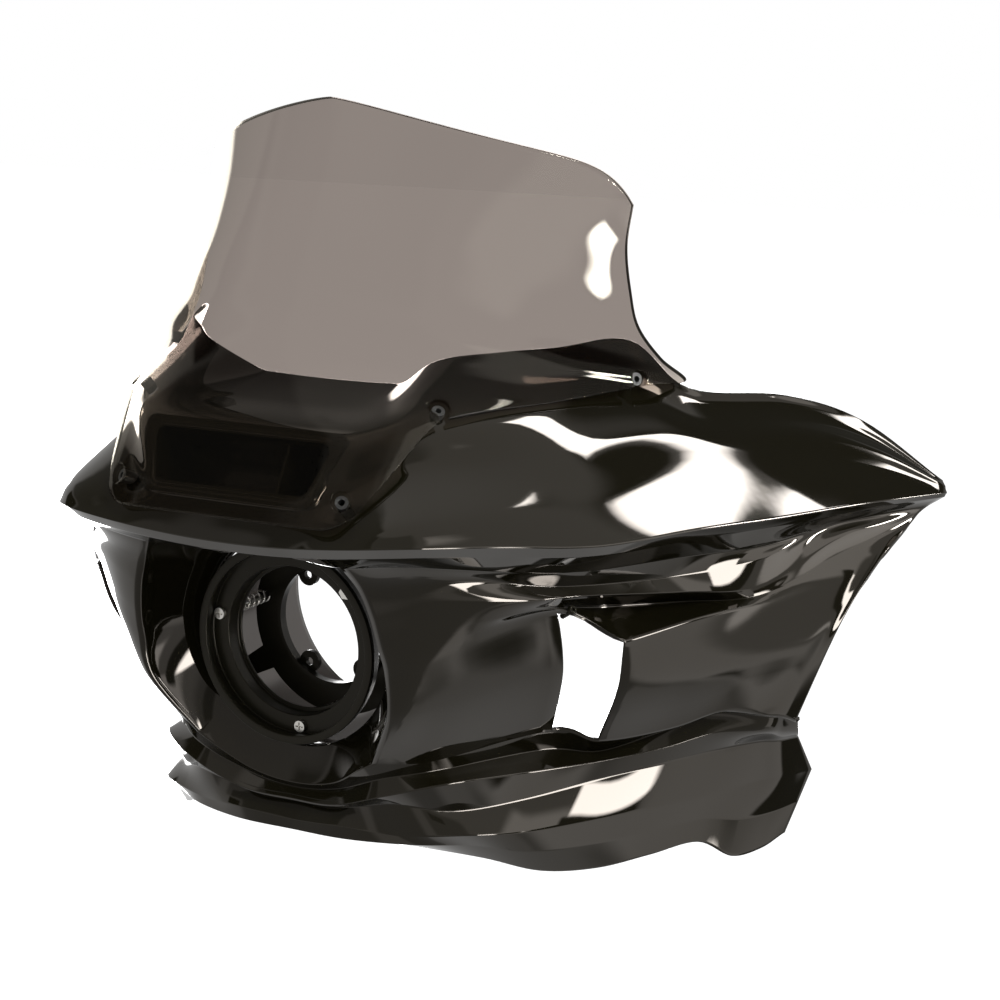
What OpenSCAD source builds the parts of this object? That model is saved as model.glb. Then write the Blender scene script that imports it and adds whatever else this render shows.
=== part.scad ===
/* [Shell] */
// Wall thickness of the moulded shell, mm
wall = 3.6; // [3:0.1:4.5]

/* [Headlamp] */
// Outside radius of the lamp ring lip, mm
ring_r = 80; // [78:0.5:82]
// Radius of the bore that takes the lamp, mm
seat_r = 73.2; // [71:0.1:75]
// Radial gap between the ring lip and the funnel, mm
ring_gap = 5.5; // [5:0.1:7]
// Length of the close part of the seat behind the lip, mm
seat_len = 8; // [5:0.5:8.5]
// Depth of the ledge that carries the adjusting screws, mm
ledge_y = 12; // [12:0.5:16]
// Depth of the lamp ring's inner collar behind its lip, mm
ring_depth = 27; // [24:1:32]
// Distance of the rear plate behind the lip, mm
plate_y = 74; // [68:1:80]
// Thickness of the rear plate, mm
plate_t = 4; // [3:0.5:5]

/* [Aiming gear] */
// Radius of the aiming screw circle, mm
aim_r = 68; // [67:0.5:68.5]
// Shank diameter of the aiming screws, mm
aim_d = 5; // [4:0.5:5.5]
// Running gap round the aiming screw shanks, mm
aim_gap = 0.6; // [0.5:0.1:1]
// Wire diameter of the aiming springs, mm
wire_d = 1.6; // [1.2:0.1:1.8]
// Turns of each aiming spring
spring_turns = 8; // [6:1:10]

/* [Windshield] */
// Sheet thickness of the screen, mm
screen_t = 3.2; // [2.5:0.1:4]
// Gap between the screen and the deck under it, mm
screen_gap = 0.6; // [0.4:0.1:1.2]
// Diameter of the round screw holes in the screen, mm
screen_hole_d = 13; // [11:0.5:14]

/* [Fasteners] */
// Body diameter of the rubber well nuts, mm
well_d = 10; // [9:0.5:11]
// Head diameter of the small scoop screws, mm
scoop_head_d = 8; // [7:0.5:10]

/* [Detail] */
// Mesh steps between two guide columns
steps_u = 2; // [1:1:3]
// Mesh steps between two guide rows
steps_v = 2; // [1:1:2]

/* [Hidden] */
funnel_r = ring_r + ring_gap;
funnel_y = 18;
carrier_t = 4;
leg_r = funnel_r + 11;
tab_r = 44;
bolt_d = 6;
bore_d = bolt_d + 0.6;
// Which sub-part to build

// guide rows of the shell, from the top rim down; eleven guide columns from the centre to the rear edge
R_rim  = [[0,75,197],[50,75,198],[68,72,201],[104,60,222],[140,95,226],[172,130,227],
          [203,190,226],[246,206,190],[298,279,177],[347,322,154],[413,328,111]];
R_plat = [[0,20,188],[50,20,188],[80,16,191],[112,25,203],[148,65,204],[178,118,206],
          [211,186,207],[254,208,180],[303,281,170],[352,318,148],[414,327,110]];
R_vtop = [[0,-42,177],[50,-42,177],[90,-40,177],[122,-11,180],[157,31,183],[191,92,185],
          [224,174,187],[265,202,169],[313,275,160],[358,314,141],[415,326,109]];
R_vbot = [[0,-69,131],[45,-69,131],[76,-67,131],[127,-26,154],[169,18,156],[210,76,160],
          [246,154,166],[283,198,155],[326,266,150],[368,304,134],[416,325,108]];
R_elow = [[0,-75,114],[50,-76,115],[100,-74,117],[147,-65,125],[190,-5,128],[232,60,126],
          [270,138,134],[303,191,134],[342,257,131],[377,297,122],[417,323,106]];
R_brow = [[0,-78,98],[50,-80,100],[104,-84,106],[152,-74,110],[201,-18,105],[250,45,98],
          [297,118,101],[335,182,101],[370,238,103],[395,282,103],[419,321,103]];
R_lip  = [[0,-72,90],[50,-74,92],[100,-76,97],[147,-66,101],[195,-11,96],[244,51,89],
          [291,123,92],[330,186,93],[365,241,96],[391,284,98],[417,322,99]];
R_dtop = [[0,-56,87],[50,-57,87],[88,-54,84],[138,-50,90],[187,2,81],[226,60,73],
          [278,132,75],[320,190,76],[357,243,90],[386,286,93],[411,323,95]];
R_g1   = [[0,-50,60],[50,-50,60],[98,-46,66],[142,-34,74],[181,6,71],[214,60,60],
          [266,129,58],[320,184,67],[351,242,83],[382,284,88],[405,320,91]];
R_rdg1 = [[0,-44,40],[50,-44,40],[105,-42,45],[149,-26,58],[202,22,56],[229,68,53],
          [277,132,47],[317,182,45],[357,241,75],[383,281,82],[400,312,86]];
R_scp  = [[0,-40,20],[50,-40,20],[109,-38,22],[150,-20,36],[204,38,46],[223,104,35],
          [268,150,34],[319,184,38],[354,236,60],[380,275,72],[396,300,78]];
R_ptop = [[0,-30,0],[50,-30,0],[111,-32,0],[148,-14,12],[208,56,39],[250,90,15],
          [290,136,28],[322,184,33],[361,238,41],[378,258,50],[386,266,58]];
R_pmid = [[0,-20,-40],[50,-20,-40],[108,-25,-36],[141,6,-31],[201,80,-14],[240,100,-28],
          [281,140,-24],[316,178,-14],[345,214,-6],[357,230,1],[365,238,8]];
R_stop = [[0,10,-115],[40,7,-108],[80,-2,-84],[116,24,-83],[179,104,-71],[212,122,-80],
          [258,154,-72],[292,176,-58],[320,202,-58],[331,214,-62],[337,225,-67]];
R_sgrv = [[0,12,-119],[40,12,-114],[82,8,-98],[120,34,-92],[171,108,-89],[207,134,-92],
          [248,162,-77],[284,188,-64],[318,205,-67],[328,220,-70],[334,230,-74]];
R_sbot = [[0,4,-126],[42,2,-124],[86,2,-110],[131,26,-99],[172,84,-100],[215,126,-96],
          [252,158,-89],[286,187,-79],[315,208,-80],[324,224,-83],[331,240,-87]];
R_g2   = [[0,13,-130],[45,12,-128],[90,12,-118],[128,42,-127],[166,84,-124],[206,126,-114],
          [247,163,-104],[278,196,-98],[305,220,-93],[318,233,-94],[328,246,-93]];
R_chf  = [[0,4,-143],[50,4,-141],[93,19,-146],[139,36,-143],[171,72,-146],[205,117,-145],
          [240,160,-142],[272,199,-138],[299,229,-131],[318,248,-128],[331,271,-128]];
R_low  = [[0,5,-152],[50,6,-152],[100,22,-153],[139,51,-156],[172,84,-166],[205,125,-167],
          [238,164,-163],[267,200,-159],[290,227,-163],[307,250,-161],[321,269,-156]];
R_bot  = [[0,22,-154],[50,24,-156],[100,40,-161],[139,68,-172],[172,100,-187],[204,137,-191],
          [236,168,-184],[264,199,-178],[284,222,-194],[300,244,-192],[313,262,-182]];
NET = [R_rim, R_plat, R_vtop, R_vbot, R_elow, R_brow, R_lip, R_dtop, R_g1, R_rdg1, R_scp,
       R_ptop, R_pmid, R_stop, R_sgrv, R_sbot, R_g2, R_chf, R_low, R_bot];
// rows where the surface is creased
CREASE = [1, 0, 0, 0, 0, 1, 1, 1, 1, 1, 1, 1, 0, 1, 1, 1, 1, 1, 1, 1];
r_vtop = 2;
r_vbot = 3;
r_dtop = 7;
r_ptop = 11;
r_stop = 13;

function cr(a, b, c, d, t) =
  0.5 * (2 * b + (c - a) * t + (2 * a - 5 * b + 4 * c - d) * t * t + (3 * b - a - 3 * c + d) * t * t * t);
// the lip of the scoop turns a corner at this column, every other row runs smoothly
function corner(j, i) = j == r_ptop && i == 5;
function row_at(j, u) =
  let(row = NET[j], i = min(floor(u), 9), t = u - i, b = row[i], c = row[i + 1],
      a = corner(j, i) ? 2 * b - c : i > 0 ? row[i - 1] : [-row[1][0], row[1][1], row[1][2]],
      d = corner(j, i + 1) ? 2 * c - b : i < 9 ? row[i + 2] : 2 * row[10] - row[9])
  cr(a, b, c, d, t);
function fade(x) = let(t = max(0, min(1, x))) t * t * (3 - 2 * t);
// how creased row j is at column u: the nacelle rows are smooth near the lamp and creased on the side
function crease(j, u) =
  (j > r_dtop && j < r_stop ? CREASE[j] * fade((u - 3.6) / 1.2) : CREASE[j])
  * (j >= r_dtop && j < 16 ? 1 - fade((u - 6.6) / 0.9) : 1);
function half_pt(u, v) =
  let(j = min(floor(v), len(NET) - 2), s = v - j,
      b = row_at(j, u), c = row_at(j + 1, u), k = crease(j, u), m = crease(j + 1, u),
      a = j > 0 ? k * (2 * b - c) + (1 - k) * row_at(j - 1, u) : 2 * b - c,
      d = j < len(NET) - 2 ? m * (2 * c - b) + (1 - m) * row_at(j + 2, u) : 2 * c - b)
  cr(a, b, c, d, s);
function surf(u, v) =
  let(p = half_pt(abs(u), v)) [u < 0 ? -p[0] : p[0], p[1], p[2]];
function unit(v) = v / max(norm(v), 1e-9);
function clampi(i, hi) = max(0, min(hi, i));

// mesh of the shell: columns from the left tip to the right tip, rows from the rim down
nu = 10 * steps_u;
nc = 2 * nu;
nr = (len(NET) - 1) * steps_v;
GRID = [for (j = [0 : nr]) [for (i = [0 : nc]) surf((i - nu) / steps_u, j / steps_v)]];
function gnorm(i, j) =
  unit(cross(GRID[j][clampi(i + 1, nc)] - GRID[j][clampi(i - 1, nc)],
             GRID[clampi(j - 1, nr)][i] - GRID[clampi(j + 1, nr)][i]));
function lamp_cell(i, j) =
  i >= nu - 2 * steps_u && i < nu + 2 * steps_u && j >= r_dtop * steps_v && j < r_stop * steps_v;
function vent_cell(i, j) =
  i >= nu - 2 * steps_u && i < nu + 2 * steps_u && j >= r_vtop * steps_v && j < r_vbot * steps_v;
function side_cell(i, j) =
  j >= r_ptop * steps_v && j < r_stop * steps_v &&
  ((i >= nu + 4 * steps_u && i < nu + 5 * steps_u) || (i < nu - 4 * steps_u && i >= nu - 5 * steps_u));
function is_cell(i, j) =
  i >= 0 && i < nc && j >= 0 && j < nr && !lamp_cell(i, j) && !vent_cell(i, j) && !side_cell(i, j);
function gi(i, j) = j * (nc + 1) + i;
ng = (nc + 1) * (nr + 1);

// loop of grid corners round the lamp opening, clockwise seen from the front
la = nu - 2 * steps_u;
lb = nu + 2 * steps_u;
ja = r_dtop * steps_v;
jb = r_stop * steps_v;
LOOP = concat([for (i = [la : lb - 1]) [i, ja]], [for (j = [ja : jb - 1]) [lb, j]],
              [for (k = [0 : lb - la - 1]) [lb - k, jb]], [for (k = [0 : jb - ja - 1]) [la, jb - k]]);
nl = len(LOOP);
fs = 4;
function ring_pt(k, r, y) =
  let(p = GRID[LOOP[k][1]][LOOP[k][0]], q = unit([p[0], 0, p[2] + 4])) [r * q[0], y, r * q[2]];
function funnel_pt(k, s) =
  let(p = GRID[LOOP[k][1]][LOOP[k][0]], q = ring_pt(k, funnel_r, funnel_y), w = pow(s, 0.8))
  [p[0] + (q[0] - p[0]) * s, p[1] + (q[1] - p[1]) * w, p[2] + (q[2] - p[2]) * s];
function funnel_in(k, s) =
  let(p = GRID[LOOP[k][1]][LOOP[k][0]] - gnorm(LOOP[k][0], LOOP[k][1]) * wall,
      q = ring_pt(k, funnel_r + wall + 2, funnel_y), w = pow(s, 0.8))
  [p[0] + (q[0] - p[0]) * s, p[1] + (q[1] - p[1]) * w, p[2] + (q[2] - p[2]) * s];
function fo(k, s) = s == 0 ? gi(LOOP[k % nl][0], LOOP[k % nl][1]) : 2 * ng + (s - 1) * nl + (k % nl);
function fi(k, s) = s == 0 ? ng + gi(LOOP[k % nl][0], LOOP[k % nl][1]) : 2 * ng + (fs + s - 1) * nl + (k % nl);

module shell_body() {
  outer = [for (j = [0 : nr]) for (i = [0 : nc]) GRID[j][i]];
  inner = [for (j = [0 : nr]) for (i = [0 : nc]) GRID[j][i] - gnorm(i, j) * wall];
  fout = [for (s = [1 : fs]) for (k = [0 : nl - 1]) funnel_pt(k, s / fs)];
  fin = [for (s = [1 : fs]) for (k = [0 : nl - 1]) funnel_in(k, s / fs)];
  skin = [for (j = [0 : nr - 1]) for (i = [0 : nc - 1]) if (is_cell(i, j))
    each [[gi(i, j), gi(i + 1, j), gi(i + 1, j + 1)], [gi(i, j), gi(i + 1, j + 1), gi(i, j + 1)],
          [ng + gi(i, j), ng + gi(i + 1, j + 1), ng + gi(i + 1, j)],
          [ng + gi(i, j), ng + gi(i, j + 1), ng + gi(i + 1, j + 1)]]];
  walls = [for (j = [0 : nr - 1]) for (i = [0 : nc - 1]) if (is_cell(i, j))
    each concat(
      is_cell(i, j - 1) || lamp_cell(i, j - 1) ? [] : quad(gi(i + 1, j), gi(i, j)),
      is_cell(i, j + 1) || lamp_cell(i, j + 1) ? [] : quad(gi(i, j + 1), gi(i + 1, j + 1)),
      is_cell(i - 1, j) || lamp_cell(i - 1, j) ? [] : quad(gi(i, j), gi(i, j + 1)),
      is_cell(i + 1, j) || lamp_cell(i + 1, j) ? [] : quad(gi(i + 1, j + 1), gi(i + 1, j)))];
  tube = [for (s = [0 : fs - 1]) for (k = [0 : nl - 1])
    each [[fo(k, s), fo(k + 1, s), fo(k + 1, s + 1)], [fo(k, s), fo(k + 1, s + 1), fo(k, s + 1)],
          [fi(k, s), fi(k + 1, s + 1), fi(k + 1, s)], [fi(k, s), fi(k, s + 1), fi(k + 1, s + 1)]]];
  rim = [for (k = [0 : nl - 1])
    each [[fo(k, fs), fo(k + 1, fs), fi(k + 1, fs)], [fo(k, fs), fi(k + 1, fs), fi(k, fs)]]];
  polyhedron(points = concat(outer, inner, fout, fin), faces = concat(skin, walls, tube, rim));
}
function quad(a, b) = [[a, b, b + ng], [a, b + ng, a + ng]];

// where the screen fixings and the scoop screws pierce the shell: screen row and span, then shell column and row
HOLES = [[1, 0.86], [4.5, 0.8], [6.6, 0.93]];
SCOOP_UV = [4.25, 10.65];
function snorm(u, v) =
  unit(cross(surf(u + 0.05, v) - surf(u - 0.05, v), surf(u, v - 0.05) - surf(u, v + 0.05)));

// points p, axis a: puts a child drawn along +z onto the line
module along(p, a) {
  translate(p) rotate([0, acos(a[2]), atan2(a[1], a[0])]) children();
}

module fairing_shell() {
  color("black") difference() {
    shell_body();
    for (k = [0 : 2], m = [-1, 1]) {
      h = hole_pt(k, m);
      along(h[0] - h[1] * 24, h[1]) cylinder(h = 24 + 8, d = well_d + 0.6, $fn = 32);
    }
    for (m = [-1, 1]) {
      p = surf(m * SCOOP_UV[0], SCOOP_UV[1]);
      n = snorm(m * SCOOP_UV[0], SCOOP_UV[1]);
      along(p - n * 13, n) cylinder(h = 20, d = 5.6, $fn = 32);
    }
  }
}

// screen guide: centre y and z, edge x y z, how flat it stays, corner drop, side fall
SCREEN = [
  [-86, 119, 104.5, -78.2, 119, 6, 1, 1.8], [-79, 138, 116, -59, 139, 6, 1, 1.8],
  [-64, 160, 127, -33, 162, 6, 1, 1.8], [-50, 182, 138, -5, 185, 5, 1, 1.8],
  [-41, 197, 150, 18, 192, 3.6, 1, 1.8], [-29, 217, 191, 92, 194, 2.5, 1, 1.8],
  [-16, 240, 227, 167, 197, 2.3, 1, 1.8], [-6, 262, 244, 204.5, 196.5, 2.3, 1, 1.8],
  [6, 285, 226, 197, 214, 2.3, 1, 1.8], [20, 312, 210, 190, 238, 2.3, 0.95, 1.8],
  [36, 342, 203, 190, 264, 2.2, 0.88, 1.7], [56, 377, 197, 194, 299, 2.2, 0.79, 1.5],
  [78, 415, 198, 202, 331, 2.2, 0.68, 1.3]
];
ns = len(SCREEN) - 1;
function scr_row(v) =
  let(j = min(floor(v), ns - 1), t = v - j, b = SCREEN[j], c = SCREEN[j + 1],
      a = j > 0 ? SCREEN[j - 1] : 2 * b - c, d = j < ns - 1 ? SCREEN[j + 2] : 2 * c - b)
  cr(a, b, c, d, t);
function screen_pt(t, v) =
  let(r = scr_row(v), w = abs(t), g = r[6] * pow(w, r[7]) + (1 - r[6]) * pow(w, 18))
  [r[2] * t, r[0] + (r[3] - r[0]) * pow(w, r[5]), r[1] + (r[4] - r[1]) * g];
function screen_n(t, v) =
  unit(cross(screen_pt(min(t + 0.02, 1), v) - screen_pt(max(t - 0.02, -1), v),
             screen_pt(t, min(v + 0.05, ns)) - screen_pt(t, max(v - 0.05, 0))));
function hole_pt(k, m) = [screen_pt(m * HOLES[k][1], HOLES[k][0]), screen_n(m * HOLES[k][1], HOLES[k][0])];

mc = 22;
mr = 2 * ns;
function si(i, j) = j * (mc + 1) + i;
function st(i) = let(q = 2 * i / mc - 1) sign(q) * (1 - pow(1 - abs(q), 1.4));
module screen_body() {
  n0 = (mc + 1) * (mr + 1);
  out = [for (j = [0 : mr]) for (i = [0 : mc]) screen_pt(st(i), j * ns / mr)];
  ins = [for (j = [0 : mr]) for (i = [0 : mc])
    screen_pt(st(i), j * ns / mr) - screen_n(st(i), j * ns / mr) * screen_t];
  skin = [for (j = [0 : mr - 1]) for (i = [0 : mc - 1])
    each [[si(i, j), si(i + 1, j + 1), si(i + 1, j)], [si(i, j), si(i, j + 1), si(i + 1, j + 1)],
          [n0 + si(i, j), n0 + si(i + 1, j), n0 + si(i + 1, j + 1)],
          [n0 + si(i, j), n0 + si(i + 1, j + 1), n0 + si(i, j + 1)]]];
  edge = concat([for (i = [0 : mc - 1]) si(i, 0)], [for (j = [0 : mr - 1]) si(mc, j)],
                [for (i = [0 : mc - 1]) si(mc - i, mr)], [for (j = [0 : mr - 1]) si(0, mr - j)]);
  ne = len(edge);
  rimf = [for (k = [0 : ne - 1])
    each [[edge[k], edge[(k + 1) % ne], n0 + edge[(k + 1) % ne]],
          [edge[k], n0 + edge[(k + 1) % ne], n0 + edge[k]]]];
  polyhedron(points = concat(out, ins), faces = concat(skin, rimf));
}
module windshield() {
  color([0.45, 0.42, 0.38, 0.6]) difference() {
    screen_body();
    for (k = [0 : 2], m = [-1, 1]) {
      h = hole_pt(k, m);
      along(h[0] - h[1] * 12, h[1]) cylinder(h = 24, d = screen_hole_d, $fn = 32);
    }
  }
}

// vent: a trapezium frame on the sloping deck with a closed duct behind it
vent_c = [0, -54.5, 154];
vent_tilt = 30.4;
vent_top = 83;
vent_bot = 68;
vent_h = 23.5;
vent_r = 7;
module vent_shape(d) {
  offset(r = vent_r) offset(delta = d - vent_r)
    polygon([[-vent_bot, -vent_h], [vent_bot, -vent_h], [vent_top, vent_h], [-vent_top, vent_h]]);
}
module vent_slab(d, y0, y1) {
  translate([0, y1, 0]) rotate([90, 0, 0]) linear_extrude(y1 - y0) vent_shape(d);
}
module vent_duct() {
  color("black") translate(vent_c) rotate([-vent_tilt, 0, 0]) {
    difference() {
      union() {
        vent_slab(6.4, -3.6, -1.7);
        vent_slab(0, -3.6, 50);
      }
      vent_slab(-2.4, -4, 47.6);
    }
    translate([36, 4, -vent_h + 1.5]) cube([2, 44, 2 * vent_h - 3]);
  }
}

// profile given as [radius, y], turned about the lamp axis
module turned(pts) {
  rotate([-90, 0, 0]) rotate_extrude($fn = 96) polygon(pts);
}
module ycyl(r, y0, y1, a, rad, n = 32) {
  translate([rad * cos(a), y0, rad * sin(a)]) rotate([-90, 0, 0]) cylinder(h = y1 - y0, r = r, $fn = n);
}
a_side = 168;
a_low = 276;
a_pivot = 42;
collar_r = 60;
module lamp_ring() {
  color("black") difference() {
    turned([[seat_r, 0], [ring_r - 1.4, 0], [ring_r, 1.4], [ring_r, 5], [ring_r - 2.6, 7.5],
            [ring_r - 2.6, ledge_y + 3], [collar_r + 2.2, ledge_y + 3], [collar_r + 2.2, ring_depth],
            [collar_r - 3, ring_depth], [collar_r - 3, ring_depth - 2], [collar_r, ring_depth - 2],
            [collar_r, ledge_y], [seat_r + 1, ledge_y], [seat_r + 1, seat_len], [seat_r, seat_len]]);
    ycyl(aim_d / 2, ledge_y - 1, ledge_y + 4, a_side, aim_r);
    ycyl(aim_d / 2, ledge_y - 1, ledge_y + 4, a_low, aim_r);
    ycyl(3, ledge_y - 1, ledge_y + 4, a_pivot, aim_r);
    for (a = [100, 225, 335]) ycyl(5, ring_depth - 6, ring_depth + 1, a, collar_r);
  }
}
module lamp_carrier() {
  color("black") difference() {
    union() {
      turned([[funnel_r, funnel_y], [funnel_r + wall + 2, funnel_y], [leg_r + 4, funnel_y + 1.5],
              [leg_r + 4, funnel_y + carrier_t + 1.5], [funnel_r, funnel_y + carrier_t + 1.5]]);
      for (a = [90, 210, 330]) ycyl(5, funnel_y + 3, plate_y, a, leg_r);
    }
    for (a = [90, 210, 330]) ycyl(2.5, plate_y - 18, plate_y + 1, a, leg_r);
  }
}
module lamp_plate() {
  color("black") difference() {
    union() {
      turned([[50, plate_y], [76, plate_y], [76, plate_y + plate_t], [50, plate_y + plate_t]]);
      turned([[48.5, plate_y - 6], [51.5, plate_y - 6], [51.5, plate_y + 1], [48.5, plate_y + 1]]);
      for (a = [90, 210, 330]) hull() {
        ycyl(8, plate_y, plate_y + plate_t, a, leg_r);
        ycyl(11, plate_y, plate_y + plate_t, a, 66);
      }
      ycyl(12, plate_y, plate_y + plate_t, a_pivot, aim_r);
      for (a = [55, 125, 235, 305]) ycyl(9, plate_y, plate_y + plate_t, a, tab_r);
    }
    for (a = [90, 210, 330]) ycyl(2.8, plate_y - 1, plate_y + plate_t + 1, a, leg_r);
    for (a = [55, 125, 235, 305]) ycyl(bore_d / 2, plate_y - 8, plate_y + plate_t + 1, a, tab_r);
    ycyl(aim_d / 2 + aim_gap, plate_y - 1, plate_y + plate_t + 1, a_side, aim_r);
    ycyl(aim_d / 2 + aim_gap, plate_y - 1, plate_y + plate_t + 1, a_low, aim_r);
    ycyl(8.1, plate_y - 1, plate_y + plate_t + 1, a_pivot, aim_r);
  }
}
module aim_screw(a) {
  color("silver") difference() {
    union() {
      ycyl(4.6, ledge_y - 3.4, ledge_y, a, aim_r);
      ycyl(aim_d / 2, ledge_y - 0.1, plate_y + plate_t + 12, a, aim_r);
    }
    translate([aim_r * cos(a) - 0.6, ledge_y - 5, aim_r * sin(a) - 3.4]) cube([1.2, 3.2, 6.8]);
    translate([aim_r * cos(a) - 3.4, ledge_y - 5, aim_r * sin(a) - 0.6]) cube([6.8, 3.2, 1.2]);
  }
}
module aim_nut(a) {
  color("silver") difference() {
    ycyl(6, plate_y + plate_t, plate_y + plate_t + 5, a, aim_r, 6);
    ycyl(aim_d / 2 + aim_gap, plate_y + plate_t - 1, plate_y + plate_t + 6, a, aim_r);
  }
}
coil_r = aim_d / 2 + wire_d / 2 + 1.6;
function coil_c(t) =
  let(y0 = ledge_y + 3 + wire_d / 2 + 0.3, y1 = plate_y - wire_d / 2 - 0.3, w = 360 * spring_turns * t)
  [coil_r * cos(w), y0 + (y1 - y0) * t, coil_r * sin(w)];
module aim_spring(a) {
  n = spring_turns * 16;
  m = 8;
  pts = [for (k = [0 : n]) let(c = coil_c(k / n), w = 360 * spring_turns * k / n,
                               e = [cos(w), 0, sin(w)])
    for (q = [0 : m - 1]) c + wire_d / 2 * (cos(360 * q / m) * e + sin(360 * q / m) * [0, 1, 0])];
  sides = [for (k = [0 : n - 1]) for (q = [0 : m - 1])
    each [[k * m + q, (k + 1) * m + (q + 1) % m, k * m + (q + 1) % m],
          [k * m + q, (k + 1) * m + q, (k + 1) * m + (q + 1) % m]]];
  caps = [[for (q = [0 : m - 1]) q], [for (q = [0 : m - 1]) n * m + m - 1 - q]];
  color("silver") translate([aim_r * cos(a), 0, aim_r * sin(a)])
    polyhedron(points = pts, faces = concat(sides, caps));
}
module pivot_stud() {
  color("silver") {
    ycyl(3, ledge_y, plate_y + 1, a_pivot, aim_r);
    translate([aim_r * cos(a_pivot), plate_y + plate_t / 2, aim_r * sin(a_pivot)]) sphere(r = 5, $fn = 40);
    ycyl(5.5, ledge_y - 2.6, ledge_y, a_pivot, aim_r, 6);
    ycyl(5, ledge_y + 3, ledge_y + 6, a_pivot, aim_r);
  }
}
module pivot_cup() {
  color("white") difference() {
    ycyl(7.5, plate_y - 1.5, plate_y + plate_t + 4.5, a_pivot, aim_r);
    ycyl(5.6, plate_y - 2, plate_y + plate_t + 3.4, a_pivot, aim_r);
  }
}
module plate_bolts() {
  color("silver") for (a = [90, 210, 330]) {
    ycyl(2.5, plate_y - 14, plate_y + plate_t + 2, a, leg_r);
    ycyl(4.5, plate_y + plate_t + 1.2, plate_y + plate_t + 5, a, leg_r, 6);
  }
}
module plate_washers() {
  color("silver") for (a = [90, 210, 330]) difference() {
    ycyl(6, plate_y + plate_t, plate_y + plate_t + 1.2, a, leg_r);
    ycyl(2.6, plate_y + plate_t - 1, plate_y + plate_t + 2, a, leg_r);
  }
}
module well_nuts(k) {
  color("dimgray") for (m = [-1, 1]) {
    h = hole_pt(k, m);
    along(h[0] - h[1] * (screen_t + 16), h[1]) difference() {
      cylinder(h = 16 - 0.9, d = well_d, $fn = 32);
      translate([0, 0, 2]) cylinder(h = 20, d = 5, $fn = 32);
    }
  }
}
module well_nuts_front() { well_nuts(0); }
module well_nuts_mid() { well_nuts(1); }
module well_nuts_rear() { well_nuts(2); }
module scoop_screw(m) {
  p = surf(m * SCOOP_UV[0], SCOOP_UV[1]);
  n = snorm(m * SCOOP_UV[0], SCOOP_UV[1]);
  color("dimgray") along(p, n) difference() {
    union() {
      translate([0, 0, 1.65]) cylinder(h = 2.2, d1 = scoop_head_d, d2 = scoop_head_d - 2, $fn = 32);
      translate([0, 0, -11]) cylinder(h = 12.8, d = 4.8, $fn = 24);
    }
    translate([0, 0, 2.1]) cylinder(h = 3, d = 3.4, $fn = 6);
  }
}
module scoop_screw_left() { scoop_screw(-1); }
module scoop_screw_right() { scoop_screw(1); }
module aim_screw_side() { aim_screw(a_side); }
module aim_screw_low() { aim_screw(a_low); }
module aim_spring_side() { aim_spring(a_side); }
module aim_spring_low() { aim_spring(a_low); }
module aim_nut_side() { aim_nut(a_side); }
module aim_nut_low() { aim_nut(a_low); }

fairing_shell();
windshield();
vent_duct();
lamp_ring();
lamp_carrier();
lamp_plate();
aim_screw_side();
aim_screw_low();
aim_spring_side();
aim_spring_low();
aim_nut_side();
aim_nut_low();
pivot_stud();
pivot_cup();
plate_bolts();
plate_washers();
well_nuts_front();
well_nuts_mid();
well_nuts_rear();
scoop_screw_left();
scoop_screw_right();
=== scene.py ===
import math

import bpy
import numpy as np
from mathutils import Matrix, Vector


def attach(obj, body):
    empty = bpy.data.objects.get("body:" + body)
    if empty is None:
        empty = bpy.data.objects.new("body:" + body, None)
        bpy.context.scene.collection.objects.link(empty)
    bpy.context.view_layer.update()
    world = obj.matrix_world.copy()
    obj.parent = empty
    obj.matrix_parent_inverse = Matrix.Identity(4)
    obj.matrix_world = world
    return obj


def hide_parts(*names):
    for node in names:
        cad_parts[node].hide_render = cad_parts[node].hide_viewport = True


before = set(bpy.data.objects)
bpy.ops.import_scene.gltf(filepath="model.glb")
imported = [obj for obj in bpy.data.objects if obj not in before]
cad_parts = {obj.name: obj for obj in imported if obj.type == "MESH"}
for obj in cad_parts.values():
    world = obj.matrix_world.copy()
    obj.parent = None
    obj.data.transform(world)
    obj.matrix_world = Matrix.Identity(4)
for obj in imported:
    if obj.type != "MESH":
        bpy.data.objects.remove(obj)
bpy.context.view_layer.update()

# The fairing's own lengths are in millimetres from the centre of the lamp ring's front lip: x to
# the right of the picture, y to the rear, z up. make_mesh turns them into metres. The studio is in
# metres from the start.

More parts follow.
